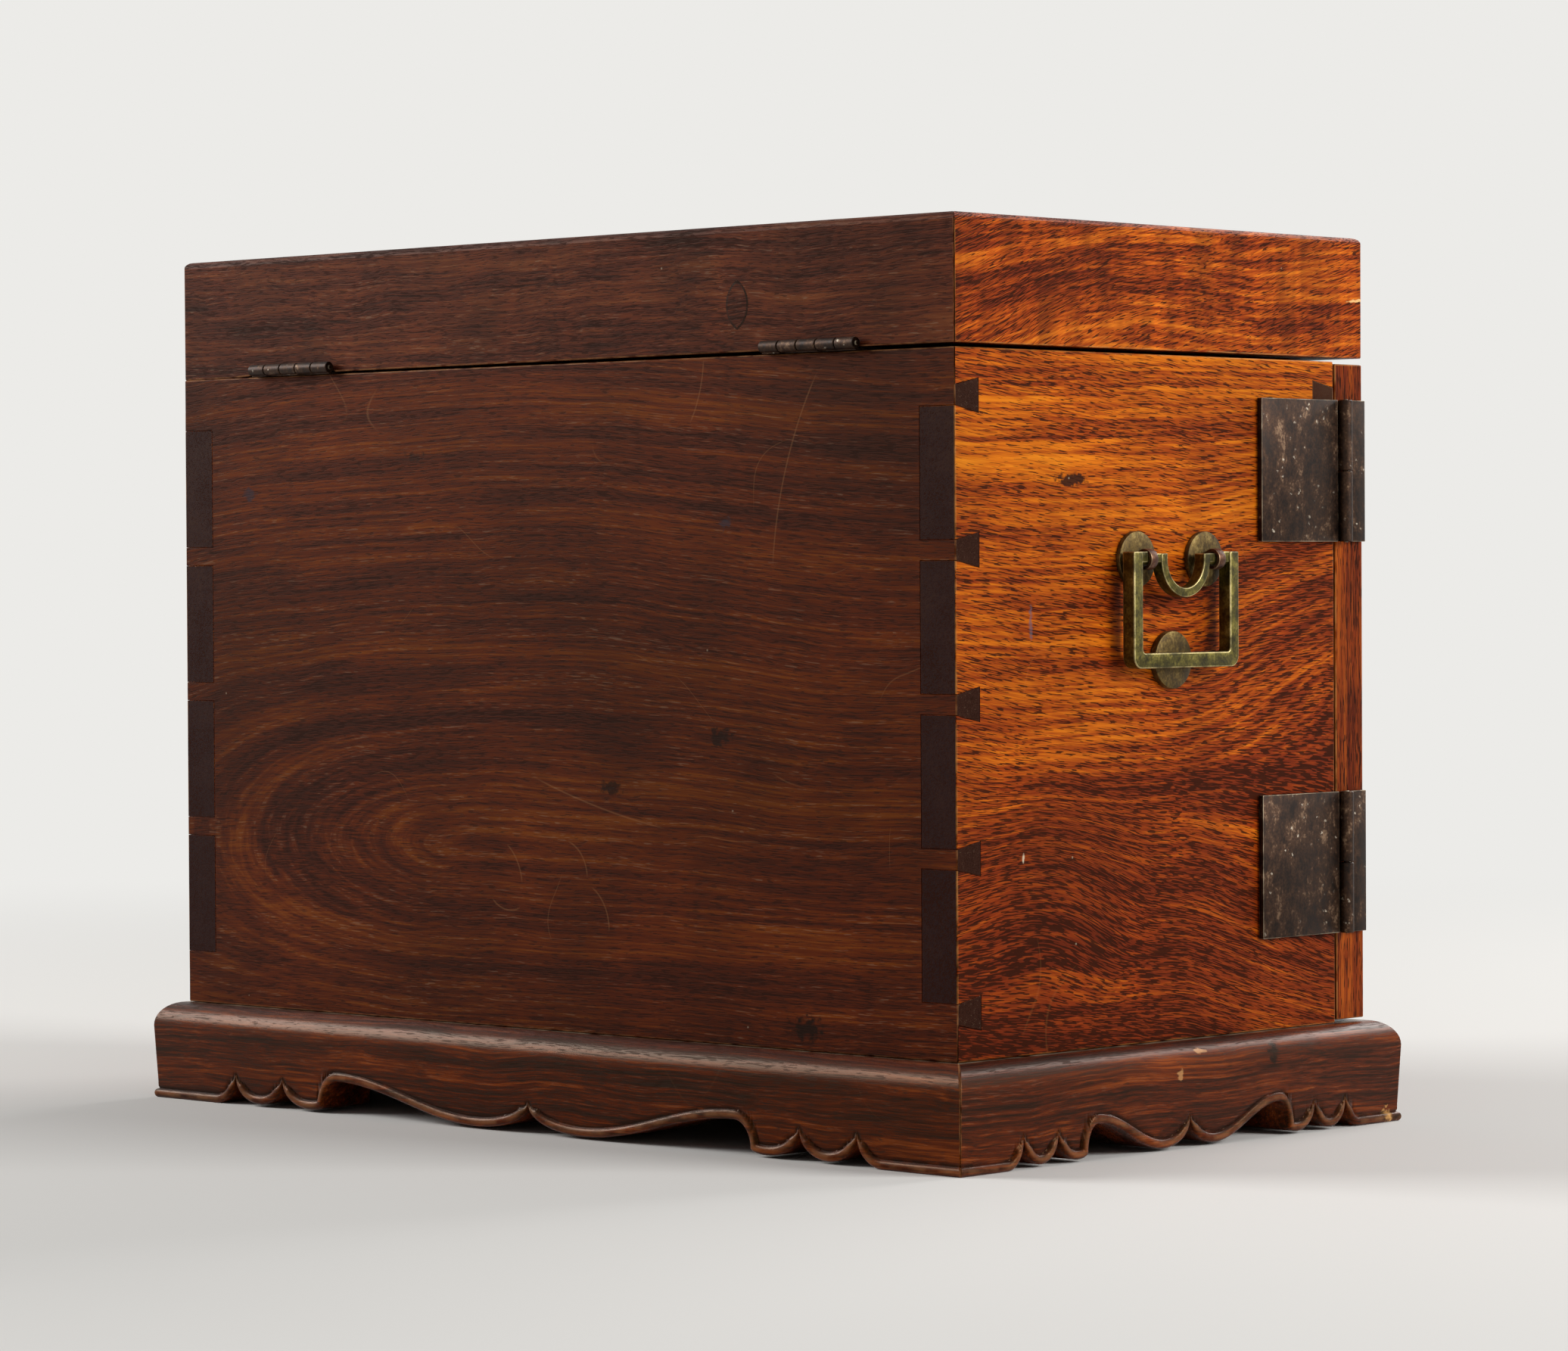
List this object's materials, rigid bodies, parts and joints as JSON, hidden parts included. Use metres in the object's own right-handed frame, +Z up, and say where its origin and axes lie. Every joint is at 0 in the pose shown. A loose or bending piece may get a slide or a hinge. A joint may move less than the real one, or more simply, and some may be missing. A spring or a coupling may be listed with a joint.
{
  "type": "table chest",
  "caption": "Hardwood table chest with a hinged lid over a till, paired doors over a shelved cupboard, dovetailed boards, bail handles and a cusped base.",
  "frame": {"origin": "on the ground under the centre of the base", "axes": "+Z up, the doors face -Y, the lid's hinges are at +Y, +X runs along the width"},
  "size_m": [0.42, 0.244, 0.3237],
  "materials": {
    "side_wood": "waxed and polished",
    "back_wood": "waxed, darkened with age",
    "base_wood": "waxed and worn",
    "lid_wood": "waxed and polished",
    "inside_wood": "bare and dry",
    "hinge_brass": "grey-brown patina",
    "handle_brass": "olive patina, bright on the edges"
  },
  "bodies": {
    "carcass": {"side_board_left": "side_wood", "side_board_right": "side_wood", "back_board": "back_wood", "bottom_board": "inside_wood", "shelf": "inside_wood", "till_floor": "inside_wood", "till_front": "inside_wood", "base_rail_back": "base_wood", "base_rail_front": "base_wood", "base_rail_left": "base_wood", "base_rail_right": "base_wood", "lid_hinge_lower_leaf_left": "hinge_brass", "lid_hinge_lower_leaf_right": "hinge_brass", "lid_hinge_pin_left": "hinge_brass", "lid_hinge_pin_right": "hinge_brass", "door_hinge_upper_left_plate": "hinge_brass", "door_hinge_upper_left_pin": "hinge_brass", "door_hinge_lower_left_plate": "hinge_brass", "door_hinge_lower_left_pin": "hinge_brass", "door_hinge_upper_right_plate": "hinge_brass", "door_hinge_upper_right_pin": "hinge_brass", "door_hinge_lower_right_plate": "hinge_brass", "door_hinge_lower_right_pin": "hinge_brass", "bail_eye_front_left": "handle_brass", "bail_eye_rear_left": "handle_brass", "bail_eye_front_right": "handle_brass", "bail_eye_rear_right": "handle_brass", "rosette_front_left": "handle_brass", "rosette_rear_left": "handle_brass", "rosette_front_right": "handle_brass", "rosette_rear_right": "handle_brass", "strike_plate_left": "handle_brass", "strike_plate_right": "handle_brass"},
    "lid": {"lid_panel": "lid_wood", "lid_rail_back": "lid_wood", "lid_rail_front": "lid_wood", "lid_rail_left": "lid_wood", "lid_rail_right": "lid_wood", "lid_hinge_upper_leaf_left": "hinge_brass", "lid_hinge_upper_leaf_right": "hinge_brass", "lock_plate_lid": "handle_brass"},
    "left_door": {"door_left": "side_wood", "door_hinge_upper_left_leaf": "hinge_brass", "door_hinge_lower_left_leaf": "hinge_brass", "lock_plate_left": "handle_brass", "ring_eye_left": "handle_brass"},
    "right_door": {"door_right": "side_wood", "door_hinge_upper_right_leaf": "hinge_brass", "door_hinge_lower_right_leaf": "hinge_brass", "lock_plate_right": "handle_brass", "ring_eye_right": "handle_brass"},
    "left_bail": {"bail_left": "handle_brass"},
    "right_bail": {"bail_right": "handle_brass"},
    "left_ring": {"ring_pull_left": "handle_brass"},
    "right_ring": {"ring_pull_right": "handle_brass"}
  },
  "joints": [
    {"name": "lid_hinge", "type": "hinge", "parent": "carcass", "child": "lid", "pos_m": [0, 0.1145, 0.28071], "axis": [-1, 0, 0], "range_deg": [0, 110]},
    {"name": "left_door_hinge", "type": "hinge", "parent": "carcass", "child": "left_door", "pos_m": [-0.203, -0.0983, 0.0372], "axis": [0, 0, -1], "range_deg": [0, 180]},
    {"name": "right_door_hinge", "type": "hinge", "parent": "carcass", "child": "right_door", "pos_m": [0.203, -0.0983, 0.0372], "axis": [0, 0, 1], "range_deg": [0, 180]},
    {"name": "left_bail_swing", "type": "hinge", "parent": "carcass", "child": "left_bail", "pos_m": [-0.20608, 0, 0.2065], "axis": [0, 1, 0], "range_deg": [0, 175]},
    {"name": "right_bail_swing", "type": "hinge", "parent": "carcass", "child": "right_bail", "pos_m": [0.20608, 0, 0.2065], "axis": [0, -1, 0], "range_deg": [0, 175]},
    {"name": "left_ring_swing", "type": "hinge", "parent": "left_door", "child": "left_ring", "pos_m": [-0.0144, -0.1171, 0.2602], "axis": [-1, 0, 0], "range_deg": [0, 165]},
    {"name": "right_ring_swing", "type": "hinge", "parent": "right_door", "child": "right_ring", "pos_m": [0.0144, -0.1171, 0.2602], "axis": [-1, 0, 0], "range_deg": [0, 165]}
  ]
}
